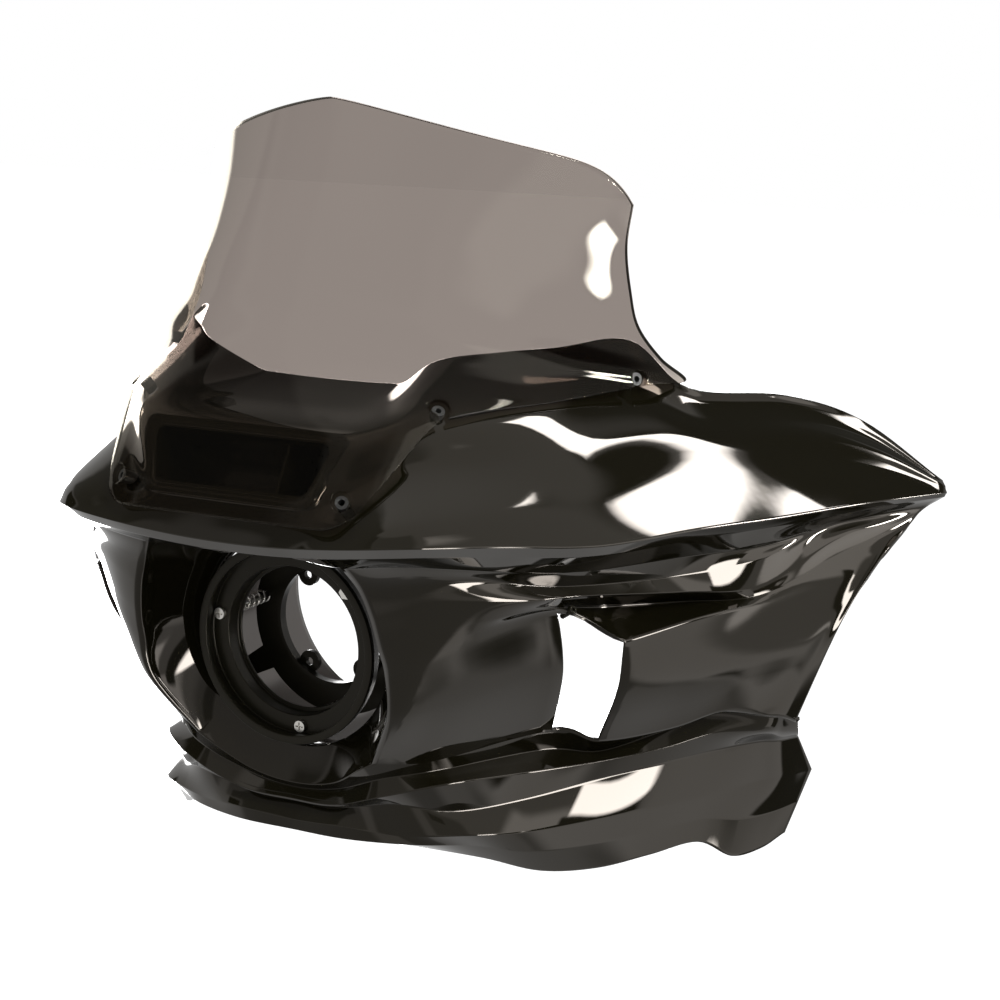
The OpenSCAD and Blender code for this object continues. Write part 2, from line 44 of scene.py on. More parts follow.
# guide rows of the shell, from the deck's upper edge down: 1 where the surface is creased along
# the row and 0 where it runs smoothly across, then the points from the centre to the rear edge
ROWS = [
    # upper edge of the deck
    (1, [(0, 75, 197), (50, 75, 198), (68, 72, 201), (104, 60, 222),
         (140, 95, 226), (172, 130, 227), (203, 190, 226), (246, 206, 190),
         (298, 279, 177), (347, 322, 154), (413, 328, 111)]),
    # flat of the deck
    (0, [(0, 20, 188), (50, 20, 188), (80, 16, 191), (112, 25, 203),
         (148, 65, 204), (178, 118, 206), (211, 186, 207), (254, 208, 180),
         (303, 281, 170), (352, 318, 148), (414, 327, 110)]),
    # upper edge of the vent
    (0, [(0, -42, 177), (50, -42, 177), (90, -40, 177), (122, -11, 180),
         (157, 31, 183), (191, 92, 185), (224, 174, 187), (265, 202, 169),
         (313, 275, 160), (358, 314, 141), (415, 326, 109)]),
    # lower edge of the vent
    (0, [(0, -69, 131), (45, -69, 131), (76, -67, 131), (127, -26, 154),
         (169, 18, 156), (210, 76, 160), (246, 154, 166), (283, 198, 155),
         (326, 266, 150), (368, 304, 134), (416, 325, 108)]),
    # deck in front of the vent
    (0, [(0, -75, 114), (50, -76, 115), (100, -74, 117), (147, -65, 125),
         (190, -5, 128), (232, 60, 126), (270, 138, 134), (303, 191, 134),
         (342, 257, 131), (377, 297, 122), (417, 323, 106)]),
    # brow
    (1, [(0, -78, 98), (50, -80, 100), (104, -84, 106), (152, -74, 110),
         (201, -18, 105), (250, 45, 98), (297, 118, 101), (335, 182, 101),
         (370, 238, 103), (395, 282, 103), (419, 321, 103)]),
    # lip under the brow
    (1, [(0, -72, 90), (50, -74, 92), (100, -76, 97), (147, -66, 101),
         (195, -11, 96), (244, 51, 89), (291, 123, 92), (330, 186, 93),
         (365, 241, 96), (391, 284, 98), (417, 322, 99)]),
    # top of the lamp opening
    (1, [(0, -56, 87), (50, -57, 87), (88, -54, 84), (138, -50, 90),
         (187, 2, 81), (226, 60, 73), (278, 132, 75), (320, 190, 76),
         (357, 243, 90), (386, 286, 93), (411, 323, 95)]),
    # groove beside the lamp
    (1, [(0, -50, 60), (50, -50, 60), (98, -46, 66), (142, -34, 74),
         (181, 6, 71), (214, 60, 60), (266, 129, 58), (320, 184, 67),
         (351, 242, 83), (382, 284, 88), (405, 320, 91)]),
    # ridge beside the lamp
    (1, [(0, -44, 40), (50, -44, 40), (105, -42, 45), (149, -26, 58),
         (202, 22, 56), (229, 68, 53), (277, 132, 47), (317, 182, 45),
         (357, 241, 75), (383, 281, 82), (400, 312, 86)]),
    # scoop
    (1, [(0, -40, 20), (50, -40, 20), (109, -38, 22), (150, -20, 36),
         (204, 38, 46), (223, 104, 35), (268, 150, 34), (319, 184, 38),
         (354, 236, 60), (380, 275, 72), (396, 300, 78)]),
    # top of the side panel and the side vent
    (1, [(0, -30, 0), (50, -30, 0), (111, -32, 0), (148, -14, 12),
         (208, 56, 39), (250, 90, 15), (290, 136, 28), (322, 184, 33),
         (361, 238, 41), (378, 258, 50), (386, 266, 58)]),
    # middle of the side panel
    (0, [(0, -20, -40), (50, -20, -40), (108, -25, -36), (141, 6, -31),
         (201, 80, -14), (240, 100, -28), (281, 140, -24), (316, 178, -14),
         (345, 214, -6), (357, 230, 1), (365, 238, 8)]),
    # foot of the side panel, the lamp opening and the side vent
    (1, [(0, 10, -115), (40, 7, -108), (80, -2, -84), (116, 24, -83),
         (179, 104, -71), (212, 122, -80), (258, 154, -72), (292, 176, -58),
         (320, 202, -58), (331, 214, -62), (337, 225, -67)]),
    # groove under the panel
    (1, [(0, 12, -119), (40, 12, -114), (82, 8, -98), (120, 34, -92),
         (171, 108, -89), (207, 134, -92), (248, 162, -77), (284, 188, -64),
         (318, 205, -67), (328, 220, -70), (334, 230, -74)]),
    # lower edge of that groove
    (1, [(0, 4, -126), (42, 2, -124), (86, 2, -110), (131, 26, -99),
         (172, 84, -100), (215, 126, -96), (252, 158, -89), (286, 187, -79),
         (315, 208, -80), (324, 224, -83), (331, 240, -87)]),
    # second groove
    (1, [(0, 13, -130), (45, 12, -128), (90, 12, -118), (128, 42, -127),
         (166, 84, -124), (206, 126, -114), (247, 163, -104), (278, 196, -98),
         (305, 220, -93), (318, 233, -94), (328, 246, -93)]),
    # upper edge of the chin
    (1, [(0, 4, -143), (50, 4, -141), (93, 19, -146), (139, 36, -143),
         (171, 72, -146), (205, 117, -145), (240, 160, -142), (272, 199, -138),
         (299, 229, -131), (318, 248, -128), (331, 271, -128)]),
    # lower edge of the chin and the wing
    (1, [(0, 5, -152), (50, 6, -152), (100, 22, -153), (139, 51, -156),
         (172, 84, -166), (205, 125, -167), (238, 164, -163), (267, 200, -159),
         (290, 227, -163), (307, 250, -161), (321, 269, -156)]),
    # bottom edge
    (1, [(0, 22, -154), (50, 24, -156), (100, 40, -161), (139, 68, -172),
         (172, 100, -187), (204, 137, -191), (236, 168, -184), (264, 199, -178),
         (284, 222, -194), (300, 244, -192), (313, 262, -182)]),
]
ROW_VENT_TOP, ROW_VENT_END, ROW_LAMP_TOP = 2, 3, 7
ROW_PANEL_TOP, ROW_PANEL_END, ROW_GROOVE = 11, 13, 16
LAST_COL, CORNER_COL = 10, 5
# column where the creases beside the lamp begin, length of the change, and the same for their end
CREASE_IN, CREASE_IN_LEN, CREASE_OUT, CREASE_OUT_LEN = 3.6, 1.2, 6.6, 0.9
# openings: guide rows from and to, guide columns from and to, counted from the centre
LAMP_OPENING = (ROW_LAMP_TOP, ROW_PANEL_END, -2, 2)
VENT_OPENINGS = [
    (ROW_VENT_TOP, ROW_VENT_END, -2, 2),
    (ROW_PANEL_TOP, ROW_PANEL_END, 4, 5),
    (ROW_PANEL_TOP, ROW_PANEL_END, -5, -4),
]

# guide rows of the screen, from its lower edge up: centre y and z, edge x, y and z, power of the
# sweep, share of the even fall, power of the even fall
SCREEN = [
    (-86, 119, 104.5, -78.2, 119, 6, 1, 1.8),
    (-79, 138, 116, -59, 139, 6, 1, 1.8),
    (-64, 160, 127, -33, 162, 6, 1, 1.8),
    (-50, 182, 138, -5, 185, 5, 1, 1.8),
    (-41, 197, 150, 18, 192, 3.6, 1, 1.8),
    (-29, 217, 191, 92, 194, 2.5, 1, 1.8),
    (-16, 240, 227, 167, 197, 2.3, 1, 1.8),
    (-6, 262, 244, 204.5, 196.5, 2.3, 1, 1.8),
    (6, 285, 226, 197, 214, 2.3, 1, 1.8),
    (20, 312, 210, 190, 238, 2.3, 0.95, 1.8),
    (36, 342, 203, 190, 264, 2.2, 0.88, 1.7),
    (56, 377, 197, 194, 299, 2.2, 0.79, 1.5),
    (78, 415, 198, 202, 331, 2.2, 0.68, 1.3),
]

WALL, SCREEN_T = 3.6, 3.2
RING_R, RING_GAP, RING_DEPTH = 80.0, 5.5, 27.0
SEAT_R, SEAT_LEN, LEDGE, COLLAR_R = 73.2, 8.0, 12.0, 60.0

NET = np.array([points for crease, points in ROWS], float)
CREASE = np.array([crease for crease, points in ROWS], float)
SCREEN_NET = np.array(SCREEN, float)
MIRROR = np.array([-1, 1, 1])


# common tools
def cubic(a, b, c, d, t):
    """Cubic from b to c with slopes (c-a)/2 and (d-b)/2 at its ends.

    0.5 (2b + (c-a)t + (2a-5b+4c-d)t^2 + (3b-a-3c+d)t^3)
    """
    square, cube = 2 * a - 5 * b + 4 * c - d, 3 * b - a - 3 * c + d
    return 0.5 * (2 * b + (c - a) * t + square * t**2 + cube * t**3)


def fade(x):
    """Smooth step 3x^2 - 2x^3 of x held to 0..1."""
    x = np.clip(x, 0, 1)
    return x * x * (3 - 2 * x)


def unit(d):
    """Vectors along d with length 1."""
    return d / np.maximum(np.linalg.norm(d, axis=-1, keepdims=True), 1e-9)


def grid_normals(G):
    """Unit normals of a (rows, columns, 3) grid, outwards if columns run right and rows down."""
    return unit(np.cross(np.gradient(G, axis=1), -np.gradient(G, axis=0)))


def strip(A, B, closed=False):
    """Quads between two index rows of equal length, joined end to start if closed."""
    if closed:
        A, B = np.append(A, A[:1]), np.append(B, B[:1])
    return np.stack([A[:-1], B[:-1], B[1:], A[1:]], 1)


def two_skins(first, ncol, count):
    """Quads of the cells with these first corners, and of a copy count vertices on, turned over."""
    a, b, c, d = first, first + ncol, first + ncol + 1, first + 1
    return [np.stack([a, b, c, d], 1), np.stack([a, d, c, b], 1) + count]


def make_mesh(name, verts, quads, mat, body, cad=()):
    """A smooth piece from vertices in millimetres and quads, riding on its body."""
    me = bpy.data.meshes.new(name)
    me.from_pydata((np.asarray(verts) / 1000.0).tolist(), [], np.asarray(quads).tolist())
    me.validate()
    me.shade_smooth()
    o = bpy.data.objects.new(name, me)
    bpy.context.scene.collection.objects.link(o)
    me.materials.append(mat)
    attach(o, body)
    if cad:
        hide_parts(*cad)
    return o


# finishes
def node(tree, kind, inputs=(), **settings):
    """A shader node. Each input gets a value, or the output socket that feeds it."""
    n = tree.nodes.new(kind)
    for key, value in settings.items():
        setattr(n, key, value)
    for key, value in dict(inputs).items():
        if isinstance(value, bpy.types.NodeSocket):
            tree.links.new(value, n.inputs[key])
        else:
            n.inputs[key].default_value = value
    return n


def calc(tree, operation, x, y):
    """Result of one math node, with x and y each a socket or a number."""
    return node(tree, "ShaderNodeMath", {0: x, 1: y}, operation=operation).outputs[0]


def blend(tree, share, near, far):
    """Colour near (1 - share) + far share."""
    return node(tree, "ShaderNodeMix", {0: share, 6: near, 7: far}, data_type="RGBA").outputs[2]


def slow_drift():
    """Node group with noise n of Object coordinates: Colour is Near (1 - n) + Far n, and Roughness
    is Smooth (1 - n) + Rough n."""
    g = bpy.data.node_groups.new("slow_drift", "ShaderNodeTree")
    for way, kind, names in (
        ("INPUT", "NodeSocketFloat", ("Scale", "Smooth", "Rough")),
        ("INPUT", "NodeSocketColor", ("Near", "Far")),
        ("OUTPUT", "NodeSocketFloat", ("Roughness",)),
        ("OUTPUT", "NodeSocketColor", ("Colour",)),
    ):
        for name in names:
            g.interface.new_socket(name, in_out=way, socket_type=kind)
    given = node(g, "NodeGroupInput").outputs
    place = node(g, "ShaderNodeTexCoord").outputs["Object"]
    noise = {"Vector": place, "Scale": given["Scale"], "Detail": 6}
    n = node(g, "ShaderNodeTexNoise", noise).outputs["Fac"]
    span = {"Value": n, "To Min": given["Smooth"], "To Max": given["Rough"]}
    rough = node(g, "ShaderNodeMapRange", span).outputs["Result"]
    colour = blend(g, n, given["Near"], given["Far"])
    node(g, "NodeGroupOutput", {"Roughness": rough, "Colour": colour})
    return g


DRIFT = slow_drift()


def drifting(name, colour, far, scale, rough, spread, inputs=()):
    """Principled material that drifts from colour to colour x far and by spread about rough."""
    m = bpy.data.materials.new(name)
    m.use_nodes = True
    nt = m.node_tree
    drift = node(nt, "ShaderNodeGroup", {
        "Scale": scale, "Near": (*colour, 1), "Far": (*[c * far for c in colour], 1),
        "Smooth": rough - spread, "Rough": rough + spread,
    }, node_tree=DRIFT)
    p = nt.nodes["Principled BSDF"]
    nt.links.new(drift.outputs["Roughness"], p.inputs["Roughness"])
    nt.links.new(drift.outputs["Colour"], p.inputs["Base Color"])
    for key, value in dict(inputs).items():
        p.inputs[key].default_value = value
    return m


def empty_material(name):
    """A material and its node tree, emptied."""
    m = bpy.data.materials.new(name)
    m.use_nodes = True
    m.node_tree.nodes.clear()
    return m, m.node_tree


SMOKE_TINTS = (0.535, 0.495, 0.472, 1), (0.515, 0.476, 0.452, 1)
# clearer tint over the deck, painted light that brightens the deck and vent frame seen through
# the sheet, and the heights in metres between which it gives way to the other
DECK_LIGHT_TINT, DECK_Z = (0.79, 0.755, 0.71, 1), (0.188, 0.215)
SCREEN_SHEEN = (0.15, 0.14, 0.12, 1)


def smoked_screen():
    """Clear tinted sheet with a weak mirror on its outer face.

    The two faces of a sheet together reflect 2F / (1 + F), with F the share of one face, and all
    of it is put on the outer one. The tint is weaker where the sheet lies over the deck, which is
    painted light: it brightens the deck and vent frame seen through the sheet.
    """
    m, nt = empty_material("smoked_screen")
    place = node(nt, "ShaderNodeTexCoord").outputs["Object"]
    noise = node(nt, "ShaderNodeTexNoise", {"Vector": place, "Scale": 2.0}).outputs["Fac"]
    height = node(nt, "ShaderNodeSeparateXYZ", {0: place}).outputs["Z"]
    span = {"Value": height, "From Min": DECK_Z[0], "From Max": DECK_Z[1]}
    above = node(nt, "ShaderNodeMapRange", span).outputs["Result"]
    # the weaker tint over the deck is painted light on the deck and vent frame behind the sheet
    tint = blend(nt, above, DECK_LIGHT_TINT, blend(nt, noise, *SMOKE_TINTS))
    clear = node(nt, "ShaderNodeBsdfTransparent", {"Color": tint}).outputs["BSDF"]
    sheen = {"Color": SCREEN_SHEEN, "Roughness": 0.02}
    sheen = node(nt, "ShaderNodeBsdfGlossy", sheen).outputs["BSDF"]
    one = node(nt, "ShaderNodeFresnel", {"IOR": 1.49}).outputs["Fac"]
    both = calc(nt, "DIVIDE", calc(nt, "MULTIPLY", one, 2), calc(nt, "ADD", one, 1))
    inside = node(nt, "ShaderNodeNewGeometry").outputs["Backfacing"]
    outer = calc(nt, "MULTIPLY", both, calc(nt, "SUBTRACT", 1, inside))
    sheet = node(nt, "ShaderNodeMixShader", {"Fac": outer, 1: clear, 2: sheen})
    node(nt, "ShaderNodeOutputMaterial", {"Surface": sheet.outputs["Shader"]})
    return m


GLOSS = drifting(
    "gloss_black", (0.0055, 0.0048, 0.0022), far=1.3, scale=3.0, rough=0.035, spread=0.012,
    inputs={"IOR": 1.42, "Specular Tint": (1.0, 0.91, 0.82, 1)},
)
SATIN = drifting(
    "satin_black", (0.006, 0.0055, 0.003), far=1.5, scale=60.0, rough=0.3, spread=0.06,
    inputs={"Specular IOR Level": 0.16, "Specular Tint": (1.0, 0.91, 0.8, 1)},
)
ZINC = drifting(
    "zinc_steel", (0.62, 0.60, 0.56), far=0.8, scale=90.0, rough=0.3, spread=0.06,
    inputs={"Metallic": 1.0},
)
RUBBER = drifting(
    "black_rubber", (0.012, 0.012, 0.011), far=1.4, scale=40.0, rough=0.55, spread=0.08,
)
NYLON = drifting("nylon", (0.7, 0.68, 0.62), far=0.95, scale=40.0, rough=0.45, spread=0.05)
SMOKE = smoked_screen()
RAW = drifting(
    "raw_grey", (0.09, 0.078, 0.07), far=0.86, scale=9.0, rough=0.16, spread=0.03,
    inputs={"IOR": 1.7, "Specular Tint": (1.0, 0.93, 0.88, 1)},
)
EDGE = drifting(
    "smoked_edge", (0.016, 0.014, 0.012), far=1.3, scale=20.0, rough=0.2, spread=0.04,
    inputs={"Specular IOR Level": 0.25},
)


# shell
U_STEPS = 8
V_STEPS = np.array([0, 0.05, 0.15, 0.32, 0.5, 0.68, 0.85, 0.95])
# the half round on a free edge: its angles, and how far it bulges, as a share of the wall
RIM_ANGLES = (0.6, 1.1, math.pi / 2, math.pi - 1.1, math.pi - 0.6)
RIM_BULGE = 0.42
# the funnel ends in a circle at this radius and depth; its wall gains 2 mm on the way
FUNNEL_R, FUNNEL_Y, FUNNEL_GAIN = RING_R + RING_GAP, 18.0, 2.0
FUNNEL_STEPS = (0.03, 0.08, 0.16, 0.28, 0.42, 0.58, 0.74, 0.88, 0.96, 1.0)
FUNNEL_POWER, FUNNEL_DROP = 0.8, 4.0
# each side of a grid cell: step to the neighbour, then corners p, q, front and back
CELL_SIDES = (
    ((-1, 0), (0, 1), (0, 0), (0, 0), (1, 0)),
    ((1, 0), (1, 0), (1, 1), (1, 0), (0, 0)),
    ((0, -1), (0, 0), (1, 0), (0, 0), (0, 1)),
    ((0, 1), (1, 1), (0, 1), (0, 1), (0, 0)),
)


def rows_at(u):
    """Every guide row at columns u (0 centre, 10 rear edge), cubic between the columns.

    The side panel's top turns a corner at column 5: its slopes there are those of straight pieces.
    """
    i = np.minimum(np.floor(u).astype(int), LAST_COL - 1)
    t = (u - i)[None, :, None]
    beyond = 2 * NET[:, -1] - NET[:, -2]
    ext = np.concatenate([(NET[:, 1] * MIRROR)[:, None], NET, beyond[:, None]], 1)
    a, b, c, d = (ext[:, i + k] for k in range(4))
    turns = np.arange(len(NET))[:, None] == ROW_PANEL_TOP
    a = np.where((turns & (i == CORNER_COL))[..., None], 2 * b - c, a)
    d = np.where((turns & (i == CORNER_COL - 1))[..., None], 2 * c - b, d)
    return cubic(a, b, c, d, t)


def crease_shares(u):
    """Crease share of every row at columns u.

    The rows beside the lamp are smooth near it and creased further out, and the rows down to the
    second groove turn smooth again towards the rear edge.
    """
    j = np.arange(len(NET))[:, None]
    share = CREASE[:, None] + 0 * u
    begin = fade((u - CREASE_IN) / CREASE_IN_LEN)
    end = 1 - fade((u - CREASE_OUT) / CREASE_OUT_LEN)
    share = np.where((j > ROW_LAMP_TOP) & (j < ROW_PANEL_END), share * begin, share)
    return np.where((j >= ROW_LAMP_TOP) & (j < ROW_GROOVE), share * end, share)


def shell_half(u):
    """Right half of the outer surface at columns u, cubic across the rows.

    At a creased row the curve's slope is that of the straight line between the two rows: the row
    beyond is replaced, by the crease share, with the point that carries that line on.
    """
    R = rows_at(u)
    ext = np.concatenate([[2 * R[0] - R[1]], R, [2 * R[-1] - R[-2]]])
    share = crease_shares(u)[..., None]
    b, c = R[:-1], R[1:]
    a = share[:-1] * (2 * b - c) + (1 - share[:-1]) * ext[:-3]
    d = share[1:] * (2 * c - b) + (1 - share[1:]) * ext[3:]
    between = cubic(*(p[:, None] for p in (a, b, c, d)), V_STEPS[:, None, None])
    return np.concatenate([between.reshape(-1, len(u), 3), R[-1:]])


def block(top, end, left, right):
    """The cells between two guide rows and two guide columns counted from the centre."""
    rows = slice(top * len(V_STEPS), end * len(V_STEPS))
    return rows, slice((LAST_COL + left) * U_STEPS, (LAST_COL + right) * U_STEPS)


def open_sides(solid, keep):
    """Grid indices p, q, front, back of each side of a kept cell that meets no solid cell.

    p to q runs along the side with the outside on its left, back to front points out across it.
    """
    nr, nc = keep.shape
    pad = np.pad(solid, 1)
    found = []
    for (dr, dc), *corners in CELL_SIDES:
        r, c = np.nonzero(keep & ~pad[1 + dr : nr + 1 + dr, 1 + dc : nc + 1 + dc])
        found.append(np.stack([(r + i) * (nc + 1) + c + j for i, j in corners], 1))
    return np.concatenate(found)


def rim_rounds(sides, outer, inner):
    """Half rounds that close the free edges, numbered after the two skins.

    middle of the wall + half the wall cos t + bulge sin t, at the rim's angles t
    """
    count = len(outer)
    across = unit(outer[sides[:, 2]] - outer[sides[:, 3]])
    away = np.zeros((count, 3))
    np.add.at(away, sides[:, 0], across)
    np.add.at(away, sides[:, 1], across)
    rim = np.unique(sides[:, :2])
    bulge = unit(away[rim]) * (WALL * RIM_BULGE)
    middle, half = (outer[rim] + inner[rim]) / 2, (outer[rim] - inner[rim]) / 2
    verts = [middle + half * math.cos(t) + bulge * math.sin(t) for t in RIM_ANGLES]
    at = np.zeros(count, int)
    at[rim] = np.arange(len(rim)) + 2 * count
    ends = sides[:, :2]
    loops = [ends] + [at[ends] + k * len(rim) for k in range(len(verts))] + [ends + count]
    quads = [
        np.stack([A[:, 0], B[:, 0], B[:, 1], A[:, 1]], 1) for A, B in zip(loops[:-1], loops[1:])
    ]
    return verts, quads


def lamp_funnel(ncol, outer, inner, first):
    """The wall from the lamp opening back to a circle round the ring, its vertices from first on.

    From the opening's edge to the circle x and z go by s and y by s^0.8. Each point of the circle
    lies in the direction of its edge point, seen from 4 mm under the lamp axis.
    """
    rows, cols = block(*LAMP_OPENING)
    down, across = np.arange(rows.start, rows.stop), np.arange(cols.start, cols.stop)
    edge = np.concatenate([
        rows.start * ncol + across, down * ncol + cols.stop,
        rows.stop * ncol + across[::-1] + 1, (down[::-1] + 1) * ncol + cols.start,
    ])
    P, Q = outer[edge], inner[edge]
    way = unit(np.stack([P[:, 0], 0 * P[:, 0], P[:, 2] + FUNNEL_DROP], 1))
    back = np.array([0, FUNNEL_Y, 0])
    E, F = way * FUNNEL_R + back, way * (FUNNEL_R + WALL + FUNNEL_GAIN) + back
    A, B = edge, edge + len(outer)
    verts, quads = [], []
    for s in FUNNEL_STEPS:
        share = np.array([s, s**FUNNEL_POWER, s])
        C = first + np.arange(len(edge))
        D = C + len(edge)
        verts += [P + (E - P) * share, Q + (F - Q) * share]
        quads += [strip(A, C, True), strip(D, B, True)]
        first += 2 * len(edge)
        A, B = C, D
    return verts, quads + [strip(A, B, True)]


def build_shell():
    """Outer and inner skins on one grid, open at the lamp, the vent and the side vents.

    The inner skin is the outer one moved in by the wall along its normals. Half rounds close the
    free edges, and the lamp opening runs back into its funnel.
    """
    half = shell_half(np.linspace(0, LAST_COL, LAST_COL * U_STEPS + 1))
    G = np.concatenate([half[:, :0:-1] * MIRROR, half], 1)
    nrow, ncol = G.shape[:2]
    outer, inner = G.reshape(-1, 3), (G - grid_normals(G) * WALL).reshape(-1, 3)
    solid = np.ones((nrow - 1, ncol - 1), bool)
    for opening in VENT_OPENINGS:
        solid[block(*opening)] = False
    keep = solid.copy()
    keep[block(*LAMP_OPENING)] = False
    r, c = np.nonzero(keep)
    skins = two_skins(r * ncol + c, ncol, len(outer))
    rounds, round_quads = rim_rounds(open_sides(solid, keep), outer, inner)
    first = 2 * len(outer) + sum(len(ring) for ring in rounds)
    funnel, funnel_quads = lamp_funnel(ncol, outer, inner, first)
    points = np.concatenate([outer, inner] + rounds + funnel)
    quads = np.concatenate(skins + round_quads + funnel_quads)
    used, renumbered = np.unique(quads, return_inverse=True)
    return points[used], renumbered.reshape(quads.shape)


verts, faces = build_shell()
make_mesh("shell_skin", verts, faces, GLOSS, "fairing", ["fairing_shell"])


# screen
SCREEN_COLS, SCREEN_ROWS = 161, 121
# power that crowds the columns towards the edges, and of the fall that makes the outer corners
CROWD, CORNER_FALL = 1.4, 18
# the lower corners: where they begin, how wide and how many rows high they are
CORNER_FROM, CORNER_WIDE, CORNER_ROWS = 0.84, 0.16, 0.62
# fixings: guide row and span as in the source, hole radius, way of the slot to the sheet's edge
FIXINGS = (
    (1, 0.86, 7.6, None),
    (4.5, 0.8, 7.6, (0.55, -0.4, -0.75)),
    (6.6, 0.93, 6.8, (0.5, -0.6, -0.6)),
)
SLOT_W, SLOT_REACH = 8.0, 22.0
CUTTER_SIDES, CUTTER_REACH = 64, 12.0


def screen_rows(v):
    """The screen's guide values at rows v, cubic between the rows of the table."""
    j = np.minimum(np.floor(v).astype(int), len(SCREEN_NET) - 2)
    below, above = 2 * SCREEN_NET[0] - SCREEN_NET[1], 2 * SCREEN_NET[-1] - SCREEN_NET[-2]
    ext = np.concatenate([[below], SCREEN_NET, [above]])
    return cubic(ext[j], ext[j + 1], ext[j + 2], ext[j + 3], (v - j)[..., None])


def screen_points(t, v):
    """Outer face of the screen at spans t (-1 to 1) and rows v, with w = |t|.

    x = x_edge t, y = y_mid + (y_edge - y_mid) w^sweep, z = z_mid + (z_edge - z_mid) g, with
    g = share w^fall + (1 - share) w^18
    """
    t, v = np.broadcast_arrays(t, v)
    y_mid, z_mid, x_edge, y_edge, z_edge, sweep, share, fall = np.moveaxis(screen_rows(v), -1, 0)
    w = np.abs(t)
    g = share * w**fall + (1 - share) * w**CORNER_FALL
    y, z = y_mid + (y_edge - y_mid) * w**sweep, z_mid + (z_edge - z_mid) * g
    return np.stack([x_edge * t, y, z], -1)


def screen_grid():
    """The screen's grid from its top down, over columns crowded towards the edges.

    Near the lower corners the first row starts at c (1 - sqrt(1 - k^2)), which rounds them, with k
    from 0 to 1 over the corner. 0.998 keeps the last column from standing upright.
    """
    q = np.linspace(-1, 1, SCREEN_COLS)
    t = np.sign(q) * (1 - (1 - np.abs(q)) ** CROWD)
    k = np.clip((np.abs(t) - CORNER_FROM) / CORNER_WIDE, 0, 1)
    low = CORNER_ROWS * (1 - np.sqrt(1 - k * k * 0.998))
    top = len(SCREEN_NET) - 1.0
    rise = np.linspace(0, 1, SCREEN_ROWS)[:, None]
    return screen_points(t[None, :], low + (top - low) * rise)[::-1]


def sheet(G, thick):
    """A grid and its copy moved in by thick along the normals, closed round the edge by quads that
    come last."""
    nrow, ncol = G.shape[:2]
    count = nrow * ncol
    grid = np.arange(count).reshape(nrow, ncol)
    edge = np.concatenate([grid[0, :-1], grid[:-1, -1], grid[-1, :0:-1], grid[:0:-1, 0]])
    quads = two_skins(grid[:-1, :-1].ravel(), ncol, count) + [strip(edge + count, edge, True)]
    inner = G - grid_normals(G) * thick
    points = np.concatenate([G.reshape(-1, 3), inner.reshape(-1, 3)])
    return points, np.concatenate(quads), len(edge)


def fixing_place(row, span):
    """A fixing's centre and the screen's normal there, from points 0.05 rows and 0.02 spans off."""
    P = screen_points(span + np.array([[-0.02, 0, 0.02]]), row + np.array([[-0.05], [0], [0.05]]))
    return P[1, 1], unit(np.cross(P[1, 2] - P[1, 0], P[2, 1] - P[0, 1]))


def hole_cutter(p, n, radius, way=None):
    """A prism along n at p: a circle, opened by a slot that runs out along way if there is one."""
    d = np.array([1.0, 0, 0]) if way is None else way
    d = unit(d - n * (d @ n))
    aside = np.cross(n, d)
    open_at = 0 if way is None else math.asin(SLOT_W / 2 / radius)
    a = np.linspace(open_at, 2 * math.pi - open_at, CUTTER_SIDES + 1)
    if way is None:
        a = a[:-1]
    x, y = radius * np.cos(a), radius * np.sin(a)
    if way is not None:
        x, y = np.append(x, [SLOT_REACH] * 2), np.append(y, [-SLOT_W / 2, SLOT_W / 2])
    flat = p + x[:, None] * d + y[:, None] * aside
    ends = np.concatenate([flat - n * CUTTER_REACH, flat + n * CUTTER_REACH])
    low = np.arange(len(flat))
    beside, high = np.roll(low, -1), low + len(flat)
    sides = np.stack([low, beside, beside + len(flat), high], 1)
    faces = sides.tolist() + [low[::-1].tolist(), high.tolist()]
    me = bpy.data.meshes.new("cut")
    me.from_pydata((ends / 1000).tolist(), [], faces)
    o = bpy.data.objects.new("cut", me)
    bpy.context.scene.collection.objects.link(o)
    return o


def cut(obj, cutter):
    """One boolean cut, applied, after which its cutter is removed."""
    m = obj.modifiers.new("cut", "BOOLEAN")
    m.object = cutter
    m.solver = "MANIFOLD"
    bpy.context.view_layer.objects.active = obj
    obj.select_set(True)
    bpy.ops.object.modifier_apply(modifier=m.name)
    bpy.data.objects.remove(cutter)


verts, faces, rim_count = sheet(screen_grid(), SCREEN_T)
screen = make_mesh(
    "screen_sheet", verts, faces, SMOKE, "fairing", ["windshield"],
)
# the rim of a smoked sheet looks nearly black, as one looks along the sheet there
screen.data.materials.append(EDGE)
of_rim = np.zeros(len(screen.data.polygons), np.int32)
of_rim[-rim_count:] = 1
screen.data.polygons.foreach_set("material_index", of_rim)

for row, span, radius, way in FIXINGS:
    p, n = fixing_place(row, span)
    for side in (1, -1):
        flip = np.array([side, 1, 1])
        slot_way = None if way is None else way * flip
        cut(screen, hole_cutter(p * flip, n * flip, radius, slot_way))


# sleeve behind the lamp
TUNNEL_R, TUNNEL_END_R, TUNNEL_Y, TUNNEL_WALL = 103.5, 92.0, 78.2, 3.0
# in degrees from the right over the top: both ends, and where the rear edge steps down and how far
TUNNEL_FROM, TUNNEL_TO, STEP_FROM, STEP_LEN = 112, 334, 236, 44
TUNNEL_REAR, STEP_DEPTH = 160, 95
TUNNEL_COLS, TUNNEL_ROWS = 121, 25


